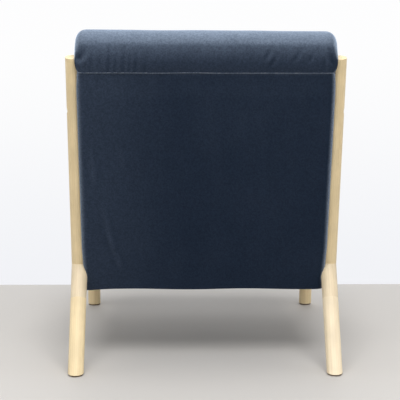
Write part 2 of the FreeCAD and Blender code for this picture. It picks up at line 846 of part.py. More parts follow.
def check_and_write():
    """Stop on any failed object or bad shape, then write each sub-part to a file of its own."""
    doc.recompute()
    failed = [obj.Name for obj in doc.Objects if {"Invalid", "Error"} & set(obj.State)]
    bad = [obj.Label for obj in nodes if obj.Shape.isNull() or not obj.Shape.isValid()]
    if failed or bad:
        raise RuntimeError(f"failed objects {failed}, bad shapes {bad}")
    os.makedirs("parts", exist_ok=True)
    for obj in nodes:
        obj.Shape.exportStep(f"parts/{obj.Label}.step")
        print(obj.Label, len(obj.Shape.Solids), round(obj.Shape.Volume))


def main():
    fill_sheet()
    dowel_holes = make_dowels()
    bolt_holes, nut_holes = make_bolts()
    make_side_frames(dowel_holes, bolt_holes)
    make_glides()
    behind_seat = block(
        "behind_seat",
        BACK,
        "-overall_width / 2",
        "stile_front",
        "-post_length / 2",
        "overall_width",
        "overall_depth",
        "post_length",
    )
    make_back_frame(nut_holes)
    make_seat_frame(nut_holes, behind_seat)
    make_outside_back()
    make_side_covers(bolt_holes, behind_seat)
    make_back_pad()
    make_seat_pad()
    make_top_roll()
    check_and_write()


main()
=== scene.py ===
import cmath
import math

import bmesh
import bpy
import numpy as np
from bpy.props import FloatProperty, FloatVectorProperty, PointerProperty
from mathutils import Euler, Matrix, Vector, noise
from mathutils.kdtree import KDTree


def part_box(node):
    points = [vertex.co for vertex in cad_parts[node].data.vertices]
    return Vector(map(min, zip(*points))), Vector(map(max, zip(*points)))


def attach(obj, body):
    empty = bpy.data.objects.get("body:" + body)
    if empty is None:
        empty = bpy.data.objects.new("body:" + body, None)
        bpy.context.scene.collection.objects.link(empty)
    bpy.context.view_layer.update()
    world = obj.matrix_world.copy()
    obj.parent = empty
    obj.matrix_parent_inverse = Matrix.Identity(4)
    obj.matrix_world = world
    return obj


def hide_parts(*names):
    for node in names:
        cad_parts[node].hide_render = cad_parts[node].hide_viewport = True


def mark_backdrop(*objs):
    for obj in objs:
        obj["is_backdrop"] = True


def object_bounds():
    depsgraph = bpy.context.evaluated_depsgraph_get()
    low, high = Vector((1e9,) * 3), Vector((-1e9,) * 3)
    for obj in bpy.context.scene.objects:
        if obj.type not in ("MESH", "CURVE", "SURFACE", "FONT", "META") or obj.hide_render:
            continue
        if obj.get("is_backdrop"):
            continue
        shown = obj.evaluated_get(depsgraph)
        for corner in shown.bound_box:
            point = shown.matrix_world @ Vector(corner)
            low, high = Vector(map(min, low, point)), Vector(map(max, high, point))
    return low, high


bl_info = {
    "name": "Lounge armchair",
    "version": (1, 0, 0),
    "blender": (4, 5, 0),
    "location": "View3D > Sidebar > Armchair",
    "description": "Dresses the packed lounge armchair in wood and velvet and sets it on a stage",
    "category": "Object",
}

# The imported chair, in metres. +Z is up, the sitter faces -Y, and +X is the sitter's left.
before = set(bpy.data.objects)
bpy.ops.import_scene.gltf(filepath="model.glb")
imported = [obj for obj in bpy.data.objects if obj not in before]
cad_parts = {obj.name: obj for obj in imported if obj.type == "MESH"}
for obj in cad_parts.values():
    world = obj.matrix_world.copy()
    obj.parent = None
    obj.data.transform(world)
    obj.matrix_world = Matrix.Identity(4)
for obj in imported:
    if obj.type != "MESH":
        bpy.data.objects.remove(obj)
CAD_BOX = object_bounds()
MM = 0.001
ROOT = "root"
SIDES = {"left": 1, "right": -1}
RIM_STEPS = 7
# Vertex attribute for painted shade in the furrows and a painted highlight on the cloth raised beside them.
FURROW_SHADING = "furrow_shading"


def clamp(value, low=0.0, high=1.0):
    return min(max(value, low), high)


def broad_face(node, way):
    """The normal of a CAD node's largest face among those that look a given way."""
    faces = [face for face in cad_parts[node].data.polygons if face.normal.dot(way) > 0.9]
    return max(faces, key=lambda face: face.area).normal.copy()


class Axes:
    """Axes that lean with the back or the seat: across to the sitter's left, rearward and upward."""

    def __init__(self, rearward):
        self.rearward = rearward
        self.upward = Vector((0, -rearward.z, rearward.y))

    def point(self, across, rear, up):
        return Vector((across, 0, 0)) + self.rearward * rear + self.upward * up

    def measure(self, point):
        return Vector((point.x, point.dot(self.rearward), point.dot(self.upward)))

    def span(self, node):
        """The lowest and highest measures of a CAD node along these axes."""
        spots = np.array([self.measure(vertex.co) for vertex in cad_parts[node].data.vertices])
        return Vector(spots.min(0)), Vector(spots.max(0))


seat_top = broad_face("dust_cover", Vector((0, 0, 1)))
BACK = Axes(broad_face("outside_back", Vector((0, 1, 0))))
SEAT = Axes(Vector((0, seat_top.z, -seat_top.y)))


# Settings


def colour_setting(name, description, default):
    return FloatVectorProperty(name=name, description=description, subtype="COLOR", default=default)


def length_setting(name, description, default):
    return FloatProperty(name=name, description=description, unit="LENGTH", default=default)


class WoodSettings(bpy.types.PropertyGroup):
    """Colours and grain of the wooden pieces."""

    post: colour_setting("Post", "Wood of the posts, front legs, arms and rails", (0.80, 0.64, 0.38))
    knee: colour_setting("Knee", "Paler wood of the knee blocks", (0.745, 0.615, 0.42))
    leg: colour_setting("Leg", "Yellower wood of the left rear leg", (0.845, 0.68, 0.41))
    pale_leg: colour_setting("Pale leg", "Paler wood of the right rear leg", (0.85, 0.715, 0.505))
    pine: colour_setting("Lumber", "Sawn wood inside the upholstery", (0.55, 0.4, 0.24))
    ring_spacing: length_setting("Ring spacing", "Distance between growth rings", 5.5 * MM)


class VelvetSettings(bpy.types.PropertyGroup):
    """Colours, pile and fullness of the upholstery."""

    deep: colour_setting("Deep", "Velvet seen into its pile", (0.0102, 0.0206, 0.0425))
    # Paler velvet colour, where the pile lies over and where painted light falls.
    brushed_and_painted_light: colour_setting("Brushed", "Velvet with its pile laid over", (0.042, 0.060, 0.096))
    # Painted highlight colour: faces that look up, and the painted rim, are blended towards it.
    painted_top_light: colour_setting("Lit", "Velvet whose pile stands up to the light", (0.265, 0.325, 0.415))
    sheen_tint: colour_setting("Sheen tint", "Light that the pile catches", (0.62, 0.77, 1.0))
    sheen: FloatProperty(
        name="Sheen", description="Strength of the light on the pile", subtype="FACTOR", default=1.0
    )
    # Painted highlight colour of the seam welts.
    seam: colour_setting("Seam", "Worn pile along the seams", (0.135, 0.155, 0.190))
    panel_rim: length_setting("Panel rim", "Width of the soft rim of the outside back", 20 * MM)
    welt_radius: length_setting("Welt radius", "Radius of the cushions' welts", 3 * MM)
    pad_press: FloatProperty(
        name="Pad press", description="Share of a pad's crown that is pressed flat before it is filled",
        subtype="FACTOR", default=0.9
    )
    pad_draw: length_setting("Pad draw", "The most that filling may move a pad's sides", 5 * MM)
    crease_depth: length_setting("Crease depth", "Depth of the deepest crease in the top roll", 5.5 * MM)


class StageSettings(bpy.types.PropertyGroup):
    """Floor, wall, light and camera."""

    floor: colour_setting("Floor", "Colour of the floor", (0.545, 0.522, 0.495))
    wall: colour_setting("Wall", "Colour of the wall", (0.985, 0.985, 0.99))
    # Painted shade on the wall near the floor.
    shaded_wall_foot: colour_setting("Wall foot", "Colour of the wall near the floor", (0.88, 0.89, 0.925))
    wall_distance: length_setting("Wall distance", "How far the wall is from the chair's middle", 0.628)
    ambient: colour_setting("Ambient", "Even light from all round", (0.36, 0.37, 0.385))
    camera_place: FloatVectorProperty(
        name="Camera place", description="Where the camera stands", subtype="TRANSLATION", unit="LENGTH",
        default=(0.0754, 3.3726, 0.9428)
    )
    camera_turn: FloatVectorProperty(
        name="Camera turn", description="Tilt, roll and heading of the camera",
        subtype="EULER", unit="ROTATION",
        default=(math.radians(80.676), math.radians(-0.155), math.radians(178.878))
    )
    lens: FloatProperty(name="Lens", description="Focal length of the camera in millimetres", default=110.5)


# Shaders


class Value:
    """An output socket that adds Math nodes when it is used in an expression."""

    def __init__(self, shader, socket):
        self.shader = shader
        self.socket = socket

    def math(self, operation, *values):
        return self.shader.add("ShaderNodeMath", {"operation": operation}, dict(enumerate(values)))

    def __add__(self, other):
        return self.math("ADD", self, other)

    def __sub__(self, other):
        return self.math("SUBTRACT", self, other)

    def __rsub__(self, other):
        return self.math("SUBTRACT", other, self)

    def __mul__(self, other):
        return self.math("MULTIPLY", self, other)

    def __truediv__(self, other):
        return self.math("DIVIDE", self, other)

    def __rtruediv__(self, other):
        return self.math("DIVIDE", other, self)

    def __pow__(self, other):
        return self.math("POWER", self, other)

    def __rpow__(self, other):
        return self.math("POWER", other, self)

    __radd__ = __add__
    __rmul__ = __mul__


class Shader:
    """The nodes of one material or of the world."""

    def __init__(self, owner):
        owner.use_nodes = True
        self.owner = owner
        self.tree = owner.node_tree

    @classmethod
    def material(cls, name):
        return cls(bpy.data.materials.new(name))

    def join(self, value, socket):
        """Link a value into a socket, or set a plain number, colour or vector on it."""
        if isinstance(value, Value):
            self.tree.links.new(value.socket, socket)
        elif socket.type == "RGBA" and len(value) == 3:
            socket.default_value = (*value, 1.0)
        else:
            socket.default_value = value

    def add(self, kind, settings=None, inputs=None, output=0):
        """Add a node, set it up, join its inputs and give back one of its outputs."""
        node = self.tree.nodes.new(kind)
        for name, setting in (settings or {}).items():
            setattr(node, name, setting)
        for name, value in (inputs or {}).items():
            self.join(value, node.inputs[name])
        return Value(self, node.outputs[output])

    def place(self):
        """The point being shaded, in metres."""
        return self.add("ShaderNodeTexCoord", output="Object")

    def dot(self, vector, way):
        return self.add("ShaderNodeVectorMath", {"operation": "DOT_PRODUCT"}, {0: vector, 1: way}, "Value")

    def scaled(self, vector, scale):
        return self.add("ShaderNodeVectorMath", {"operation": "MULTIPLY"}, {0: vector, 1: scale})

    def shifted(self, vector, offset):
        return self.add("ShaderNodeVectorMath", {"operation": "ADD"}, {0: vector, 1: offset})

    def joined(self, x, y, z):
        return self.add("ShaderNodeCombineXYZ", None, {0: x, 1: y, 2: z})

    def noise(self, vector, scale, detail=2.0, roughness=0.5):
        inputs = {"Vector": vector, "Scale": scale, "Detail": detail, "Roughness": roughness}
        return self.add("ShaderNodeTexNoise", None, inputs)

    def ramp(self, value, low, high):
        """A smooth step from 0 at the low value to 1 at the high one."""
        inputs = {0: value, 1: low, 2: high, 3: 0.0, 4: 1.0}
        return self.add("ShaderNodeMapRange", {"interpolation_type": "SMOOTHSTEP"}, inputs)

    def blend(self, share, first, second):
        return self.add("ShaderNodeMix", {"data_type": "RGBA"}, {0: share, 6: first, 7: second}, 2)

    def background_seen(self):
        """1 for rays that show the background: straight from the camera, mirrored or passed through glass."""
        rays = ("Is Camera Ray", "Is Glossy Ray", "Is Transmission Ray")
        seen, mirrored, passed = (self.add("ShaderNodeLightPath", output=ray) for ray in rays)
        shown = seen + mirrored + passed
        return shown.math("MINIMUM", shown, 1.0)

    def bump(self, height, strength, distance):
        inputs = {"Height": height, "Strength": strength, "Distance": distance}
        return self.add("ShaderNodeBump", None, inputs, "Normal")

    def finish(self, **inputs):
        """Set the Principled node's sockets, named with underscores for spaces."""
        surface = self.tree.nodes["Principled BSDF"]
        for name, value in inputs.items():
            self.join(value, surface.inputs[name.replace("_", " ")])
        return self.owner


def shade(colour, share):
    """A colour darkened or lightened by a share of itself."""
    return tuple(min(part * share, 1.0) for part in colour)


def stick_axes(node):
    """A stick's middle and three directions: along it, and two across."""
    points = np.array([vertex.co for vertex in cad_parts[node].data.vertices])
    middle = points.mean(0)
    return middle, *np.linalg.svd(points - middle, full_matrices=False)[2]


def make_wood(name, node, colour, spacing):
    """Fine straight grain along a stick, with faint growth rings across it and a satin lacquer."""
    shader = Shader.material(name)
    middle, *ways = stick_axes(node)
    offset = shader.shifted(shader.place(), tuple(-middle))
    run, first, second = (shader.dot(offset, tuple(way)) for way in ways)
    stretched = shader.joined(first, second, run * 0.06)
    drift = shader.noise(shader.shifted(stretched, tuple(middle)), 9.0)
    pith = 0.055
    radius = ((first + pith) ** 2.0 + (second + pith * 0.4) ** 2.0) ** 0.5
    growth = radius / spacing + drift * 5.0
    rings = growth.math("FRACT", growth)
    late_wood = shader.ramp(rings, 0.35, 0.95) * (1 - shader.ramp(rings, 0.95, 1.0))
    pores = shader.noise(shader.joined(first, second, run * 0.02), 850.0, 2.0, 0.65)
    streaks = shader.noise(shader.joined(first, second, run * 0.03), 130.0, 3.0, 0.6)
    patches = shader.noise(shader.joined(first, second, run * 0.5), 34.0, 3.0)
    tone = late_wood * 0.24 + shader.ramp(pores, 0.5, 0.75) * 0.26 + shader.ramp(streaks, 0.4, 0.75) * 0.3
    pale = shader.blend(shader.ramp(patches, 0.3, 0.7), shade(colour, 0.96), shade(colour, 1.09))
    darker = (colour[0] * 0.78, colour[1] * 0.71, colour[2] * 0.6)
    return shader.finish(
        Base_Color=shader.blend(tone * 0.7, pale, darker),
        Roughness=0.46 + streaks * 0.12,
        Normal=shader.bump(pores * 0.6 + streaks * 0.4, 0.12, 0.4 * MM),
        Coat_Weight=0.18,
        Coat_Roughness=0.32,
    )


def make_lumber(name, colour, lined_way):
    """Sawn softwood with wide soft bands, under dark lining cloth on the faces that look a given way."""
    lining = (0.012, 0.016, 0.024)
    shader = Shader.material(name)
    place = shader.place()
    facing = shader.dot(shader.add("ShaderNodeNewGeometry", output="True Normal"), tuple(lined_way))
    lined = shader.ramp(facing, 0.8, 0.9)
    bands = shader.noise(shader.scaled(place, (3.0, 26.0, 26.0)), 4.0, 3.0, 0.6)
    fibres = shader.noise(shader.scaled(place, (12.0, 220.0, 220.0)), 5.0)
    tone = shader.ramp(bands, 0.35, 0.7) * 0.6 + shader.ramp(fibres, 0.4, 0.7) * 0.3
    wood = shader.blend(tone, shade(colour, 1.1), shade(colour, 0.62))
    return shader.finish(
        Base_Color=shader.blend(lined, wood, lining),
        Roughness=0.72 + fibres * 0.15,
        Normal=shader.bump(fibres, 0.25, 0.6 * MM),
    )


def make_velvet(name, settings, nap, rim, turn):
    """Short pile with a sheen, laid over paler in random patches and strokes and paler toward the sitter's
    left.
    It has painted light: a painted highlight on faces that look up, and one of strength rim where the cloth
    faces sideways by more than turn; painted side light on faces that look to the sitter's left; painted
    shade lower down and in its furrows, with a painted highlight beside them. nap is how far the pile lies
    over."""
    shader = Shader.material(name)
    place = shader.place()
    patches = shader.noise(place, 4.5, 3.0, 0.55)
    strokes = shader.noise(shader.scaled(place, (14.0, 9.0, 5.0)), 1.5)
    flecks = shader.noise(place, 240.0, 2.0, 0.6)
    pile = shader.noise(place, 900.0, 2.0, 0.7)
    # Paler toward the sitter's left.
    leftward = shader.ramp(shader.dot(place, (1.0, 0.0, 0.0)), 0.05, 0.32)
    # Painted shade: the velvet is darker towards the bottom, as under light from above.
    painted_height_light = shader.ramp(shader.dot(place, (0.0, 0.0, 1.0)), 0.3, 0.78)
    # Painted shade in the furrows and painted highlight beside them.
    furrow_shading = shader.add("ShaderNodeAttribute", {"attribute_name": FURROW_SHADING}, output="Fac")
    normal = shader.add("ShaderNodeNewGeometry", output="Normal")
    # Painted side light: faces that look to the sitter's left are paler, faces that look right darker.
    sideways = shader.dot(normal, (1.0, 0.0, 0.0))
    # Share of the paler colour: the pile laid over in random patches and strokes, plus painted light and
    # shade.
    brushed_and_painted_light = nap + shader.ramp(patches, 0.38, 0.75) * 0.08 + shader.ramp(strokes, 0.4, 0.8) * 0.08
    brushed_and_painted_light = brushed_and_painted_light + leftward * 0.5 + painted_height_light * 0.12 + sideways * 0.5 - furrow_shading * 0.7
    colour = shader.blend(brushed_and_painted_light, settings.deep, settings.brushed_and_painted_light)
    # Painted highlight: faces that look up are blended towards the painted highlight colour, as under light
    # from above.
    upward = shader.dot(normal, (0.0, 0.0, 1.0))
    steepness, lowest = 1.5, -0.25
    lift = math.e ** ((upward - 1) * steepness) - math.e ** ((lowest - 1) * steepness)
    painted_top_light = lift.math("MAXIMUM", lift, 0.0) * (0.88 + shader.ramp(strokes, 0.3, 0.8) * 0.16 - furrow_shading * 0.4)
    # Painted highlight where the cloth faces sideways, stronger on the sitter's right, as strong as rim.
    painted_rim_light = shader.ramp(sideways, -turn, -0.9) + shader.ramp(sideways, turn, 0.95) * 0.65
    colour = shader.blend(painted_top_light + painted_rim_light * rim, colour, settings.painted_top_light)
    mottle = shader.noise(place, 120.0, 4.0, 0.75)
    grain = shader.ramp(pile, 0.35, 0.75) * 0.3 + shader.ramp(flecks, 0.3, 0.7) * 0.35
    grain = grain + shader.ramp(mottle, 0.3, 0.7) * 0.35
    fine = shader.blend(grain, (0.52, 0.54, 0.56), (1.08, 1.07, 1.06))
    mottled = {"data_type": "RGBA", "blend_type": "MULTIPLY"}
    return shader.finish(
        Base_Color=shader.add("ShaderNodeMix", mottled, {0: 1.0, 6: colour, 7: fine}, 2),
        Roughness=0.82 + pile * 0.16,
        Normal=shader.bump(pile * 0.5 + flecks * 0.5, 0.3, 0.6 * MM),
        Specular_IOR_Level=0.15,
        Sheen_Weight=settings.sheen,
        Sheen_Roughness=0.3,
        Sheen_Tint=settings.sheen_tint,
    )


def make_seam_highlight(settings):
    """A painted highlight along a seam, broken by its stitches."""
    shader = Shader.material("seam_highlight_velvet")
    stitches = shader.noise(shader.place(), 260.0)
    return shader.finish(
        Base_Color=shader.blend(shader.ramp(stitches, 0.35, 0.65), settings.seam, settings.brushed_and_painted_light),
        Roughness=0.8 + stitches * 0.15,
        Normal=shader.bump(stitches, 0.4, 0.6 * MM),
        Sheen_Weight=settings.sheen * 0.6,
        Sheen_Tint=settings.sheen_tint,
    )


def make_webbing():
    """Elastic webbing: a woven rib with paler warp lines."""
    shader = Shader.material("woven_webbing")
    place = shader.place()
    threads = {"Vector": place, "Scale": 180.0}
    rib, weft = (shader.add("ShaderNodeTexWave", {"bands_direction": way}, threads) for way in "XY")
    fuzz = shader.noise(place, 700.0)
    weave = rib * 0.5 + weft * 0.5
    return shader.finish(
        Base_Color=shader.blend(weave * 0.7 + fuzz * 0.3, (0.035, 0.034, 0.033), (0.1, 0.095, 0.085)),
        Roughness=0.75 + fuzz * 0.2,
        Normal=shader.bump(weave, 0.5, 0.6 * MM),
    )


def make_dust_cloth():
    """Thin black cloth of pressed fibres."""
    shader = Shader.material("pressed_dust_cloth")
    place = shader.place()
    fibres = shader.noise(place, 420.0, 4.0, 0.7)
    dimples = shader.add("ShaderNodeTexVoronoi", None, {"Vector": place, "Scale": 520.0}, "Distance")
    return shader.finish(
        Base_Color=shader.blend(fibres, (0.012, 0.012, 0.013), (0.05, 0.05, 0.052)),
        Roughness=0.78 + fibres * 0.18,
        Normal=shader.bump(dimples + fibres * 0.4, 0.35, 0.4 * MM),
    )


def make_zinc():
    """Zinc-plated steel with a cloudy bloom."""
    shader = Shader.material("plated_steel")
    cloud = shader.noise(shader.place(), 160.0, 3.0)
    return shader.finish(
        Base_Color=shader.blend(cloud, (0.46, 0.46, 0.47), (0.62, 0.61, 0.58)),
        Metallic=0.95,
        Roughness=0.28 + cloud * 0.2,
    )


def make_glide():
    """Brown moulded glides, scuffed pale where they rub."""
    shader = Shader.material("brown_glide")
    scuffs = shader.noise(shader.place(), 240.0, 3.0, 0.6)
    return shader.finish(
        Base_Color=shader.blend(shader.ramp(scuffs, 0.45, 0.75), (0.15, 0.105, 0.068), (0.24, 0.185, 0.13)),
        Roughness=0.5 + scuffs * 0.25,
        Normal=shader.bump(scuffs, 0.15, 0.3 * MM),
    )


# Meshes


def add_mesh(name, points, faces):
    """A smooth mesh object whose faces all look outward."""
    mesh = bpy.data.meshes.new(name)
    mesh.from_pydata([tuple(point) for point in points], [], faces)
    draft = bmesh.new()
    draft.from_mesh(mesh)
    bmesh.ops.recalc_face_normals(draft, faces=draft.faces)
    draft.to_mesh(mesh)
    draft.free()
    mesh.shade_smooth()
    piece = bpy.data.objects.new(name, mesh)
    bpy.context.scene.collection.objects.link(piece)
    return piece


def settle(piece, material, slot, *nodes):
    """Give a piece a material by name and let it ride on the chair in place of CAD nodes."""
    piece.data.materials.clear()
    piece.data.materials.append(bpy.data.materials[material])
    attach(piece, ROOT)
    if nodes:
        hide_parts(*nodes)


def dress(material, *nodes):
    """Put a material on CAD nodes whose shape stays."""
    for node in nodes:
        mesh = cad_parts[node].data
        mesh.materials.clear()
        mesh.materials.append(material)


def grid_faces(rows, columns):
    """The faces of a grid of points that lie row by row."""
    return [
        (i * columns + j, i * columns + j + 1, (i + 1) * columns + j + 1, (i + 1) * columns + j)
        for i in range(rows - 1)
        for j in range(columns - 1)
    ]


def band_faces(first, second):
    """The faces between two closed rows of points."""
    turns = len(first)
    return [(first[i], first[(i + 1) % turns], second[(i + 1) % turns], second[i]) for i in range(turns)]


def rolled_spots(length, start_rim, end_rim, step):
    """Places along a padded run and the fullness at each: a quarter turn at both ends, even steps between."""
    turns = [math.pi / 2 * i / RIM_STEPS for i in range(RIM_STEPS)]
    quarter = [(1 - math.cos(turn), math.sin(turn)) for turn in turns]
    flat = length - start_rim - end_rim
    count = max(2, round(flat / step))
    start = [(start_rim * run, fullness) for run, fullness in quarter]
    middle = [(start_rim + flat * i / count, 1.0) for i in range(count + 1)]
    return start + middle + [(length - end_rim * run, fullness) for run, fullness in reversed(quarter)]


def padded_panel(name, place, sides, low, high, thickness, rims, step, swell, tuck=(0.0, 0.0)):
    """A padded sheet with rolled rims at its sides, foot and head. place(across, up, out) puts a point,
    sides(up) gives the two edges at a height, swell(across, up) adds to the thickness, and tuck is how far
    the cloth turns in behind the edges and comes back out."""
    rim, foot_rim, head_rim = rims
    rows = rolled_spots(high - low, foot_rim, head_rim, step)
    edges = [sides(low + run) for run, fullness in rows]
    width = max(right - left for left, right in edges)
    columns = rolled_spots(width, rim, rim, step)
    points = []
    for (run, row_fullness), (left, right) in zip(rows, edges):
        stretch = (right - left - 2 * rim) / (width - 2 * rim)
        for spot, fullness in columns:
            inner = clamp(spot, rim, width - rim)
            across = left + spot - inner + rim + (inner - rim) * stretch
            full = fullness * row_fullness
            points.append(place(across, low + run, (thickness + swell(across, low + run)) * full))
    count = len(columns)
    last = len(rows) - 1
    faces = grid_faces(len(rows), count)
    right_edge = [i * count + count - 1 for i in range(1, last)]
    head = [last * count + j for j in reversed(range(count))]
    left_edge = [i * count for i in reversed(range(1, last))]
    border = [*range(count), *right_edge, *head, *left_edge]
    turn_in, come_out = tuck
    if turn_in:
        hem = range(len(points), len(points) + len(border))
        for i in border:
            row, column = divmod(i, count)
            left, right = edges[row]
            across = left + clamp(columns[column][0], turn_in, width - turn_in) * (right - left) / width
            up = low + clamp(rows[row][0], turn_in, high - low - turn_in)
            points.append(place(across, up, come_out))
        faces += band_faces(border, hem)
        border = hem
    faces.append(tuple(border))
    return add_mesh(name, points, faces)


def ripple(spread, height, seed):
    """A slow swelling of cloth over its padding, of a given spread and height."""

    def swell(across, up):
        return height * noise.noise(Vector((across / spread, up / spread, seed)))

    return swell


def welt(name, path, radius, closed):
    """A round cord of cloth sewn into a seam."""
    curve = bpy.data.curves.new(name, "CURVE")
    curve.dimensions = "3D"
    curve.bevel_depth = radius
    curve.bevel_resolution = 3
    curve.use_fill_caps = not closed
    line = curve.splines.new("POLY")
    line.points.add(len(path) - 1)
    for point, place in zip(line.points, path):
        point.co = (*place, 1.0)
    line.use_cyclic_u = closed
    line.use_smooth = True
    piece = bpy.data.objects.new(name, curve)
    bpy.context.scene.collection.objects.link(piece)
    return piece


# Wooden frame and inner parts

STICKS = ("back_post", "knee_block", "rear_leg", "front_leg", "arm_corner", "armrest", "side_rail")


class ARMCHAIR_OT_side_frames(bpy.types.Operator):
    """Finish the posts, knees, legs, arms and rails in pale wood and the glides in brown"""

    bl_idname = "armchair.side_frames"
    bl_label = "Side frames"

    def execute(self, context):
        wood = context.scene.armchair_wood
        boards = {"rear_leg_left": wood.leg, "rear_leg_right": wood.pale_leg}
        for side in SIDES:
            boards[f"knee_block_{side}"] = wood.knee
            for stick in STICKS:
                node = f"{stick}_{side}"
                colour = tuple(boards.get(node, wood.post))
                dress(make_wood(f"wood_{node}", node, colour, wood.ring_spacing), node)
        dress(make_glide(), "foot_glides")
        return {"FINISHED"}


class ARMCHAIR_OT_inner_frame(bpy.types.Operator):
    """Finish the lumber, webbing, bolts and dowels inside the upholstery"""

    bl_idname = "armchair.inner_frame"
    bl_label = "Inner frame"

    def execute(self, context):
        pine = tuple(context.scene.armchair_wood.pine)
        back_boards = ["back_top_rail", "back_middle_rail", "back_bottom_rail"]
        seat_boards = ["seat_front_rail", "seat_rear_rail", "seat_corner_blocks"]
        for side in SIDES:
            back_boards.append(f"back_stile_{side}")
            seat_boards.append(f"seat_side_rail_{side}")
        dress(make_lumber("back_lumber", pine, -BACK.rearward), *back_boards)
        dress(make_lumber("seat_lumber", pine, SEAT.upward), *seat_boards, "frame_dowels")
        dress(make_webbing(), "seat_webbing", "back_webbing")
        dress(make_zinc(), "frame_bolts", "insert_nuts")
        return {"FINISHED"}


# Upholstery

# Creases of the top roll and drag lines of the outside back: place across and height above the piece's foot
# of both ends, half width, and depth as a share of the deepest crease. The sitter's left is positive.
CREASES = (
    (0.291, 0.068, 0.315, 0.024, 0.008, 0.9),
    (0.301, 0.052, 0.304, 0.006, 0.0042, 0.22),
    (0.277, 0.066, 0.284, 0.004, 0.0048, 0.28),
    (0.26, 0.058, 0.263, 0.001, 0.0044, 0.2),
    (0.236, 0.08, 0.24, 0.001, 0.005, 0.36),
    (0.22, 0.062, 0.223, 0.001, 0.0042, 0.22),
    (0.2, 0.084, 0.203, 0.001, 0.005, 0.34),
    (0.186, 0.066, 0.189, 0.001, 0.0042, 0.28),
    (0.171, 0.078, 0.173, 0.001, 0.0046, 0.28),
    (0.147, 0.064, 0.15, 0.001, 0.0048, 0.2),
    (-0.163, 0.074, -0.141, 0.03, 0.005, 0.26),
    (-0.178, 0.054, -0.15, 0.01, 0.0048, 0.28),
    (-0.238, 0.07, -0.21, 0.024, 0.0054, 0.24),
    (-0.268, 0.064, -0.248, 0.024, 0.005, 0.2),
    (-0.296, 0.066, -0.312, 0.014, 0.0065, 0.5),
    (-0.29, 0.048, -0.286, 0.004, 0.0044, 0.2),
)
DRAG_LINES = (
    (0.266, 0.268, 0.234, 0.1, 0.0065, -0.38),
    (0.242, 0.15, 0.216, 0.055, 0.006, -0.34),
    (0.292, 0.43, 0.28, 0.29, 0.0075, -0.35),
    (0.222, 0.42, 0.204, 0.34, 0.0065, -0.2),
)


def furrows(lines, across, height):
    """How deep the creases of a list are at a place, as a share of the deepest, with the cloth raised beside
    them. A crease deepens from its first end, and fades at its last one unless that is sewn into the seam."""
    seam_height = 8 * MM
    deepening, fading = 0.7, 0.25
    reach, raised, raised_at = 4, 0.3, 1.9
    depth = 0.0
    spot = Vector((across, height))
    for x0, h0, x1, h1, half_width, share in lines:
        start = Vector((x0, h0))
        line = Vector((x1, h1)) - start
        along = clamp((spot - start).dot(line) / line.length_squared)
        gap = (spot - start - line * along).length / half_width
        if gap < reach:
            sewn = 1.0 if h1 < seam_height else min((1 - along) / fading, 1.0)
            share *= sewn * min(along / deepening, 1.0)
            depth += share * (math.exp(-gap * gap) - raised * math.exp(-((gap - raised_at) ** 2)))
    return depth


def paint_furrow_shading(piece, lines, low):
    """Write the depth of the furrows on a piece's rear, for its velvet to paint as shade in them and as a
    highlight on the cloth raised beside them.
    """
    depths = []
    for vertex in piece.data.vertices:
        spot = BACK.measure(vertex.co)
        depths.append(furrows(lines, spot.x, spot.z - low.z) if spot.y > low.y else 0.0)
    piece.data.attributes.new(FURROW_SHADING, "FLOAT", "POINT").data.foreach_set("value", depths)


def beside_leg(gap):
    """A function that moves a point of the back out of the rear legs and their knees, inward or forward."""
    middle, along = (Vector(part) for part in stick_axes("rear_leg_left")[:2])
    low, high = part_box("knee_block_left")
    middle.x = (low.x + high.x) / 2
    radius = (high.x - low.x) / 2 + gap
    across = BACK.rearward - along * BACK.rearward.dot(along)
    across.x = 0.0
    slant = across.length

    def press(point):
        offset = Vector((abs(point.x), point.y, point.z)) - middle
        depth = offset.dot(across) / slant
        if offset.x**2 + depth**2 < radius**2:
            inward = offset.x + math.sqrt(radius**2 - depth**2)
            forward = (depth + math.sqrt(radius**2 - offset.x**2)) / slant
            if forward < inward:
                return point - BACK.rearward * forward
            return Vector((point.x - math.copysign(inward, point.x), point.y, point.z))
        return point

    return press


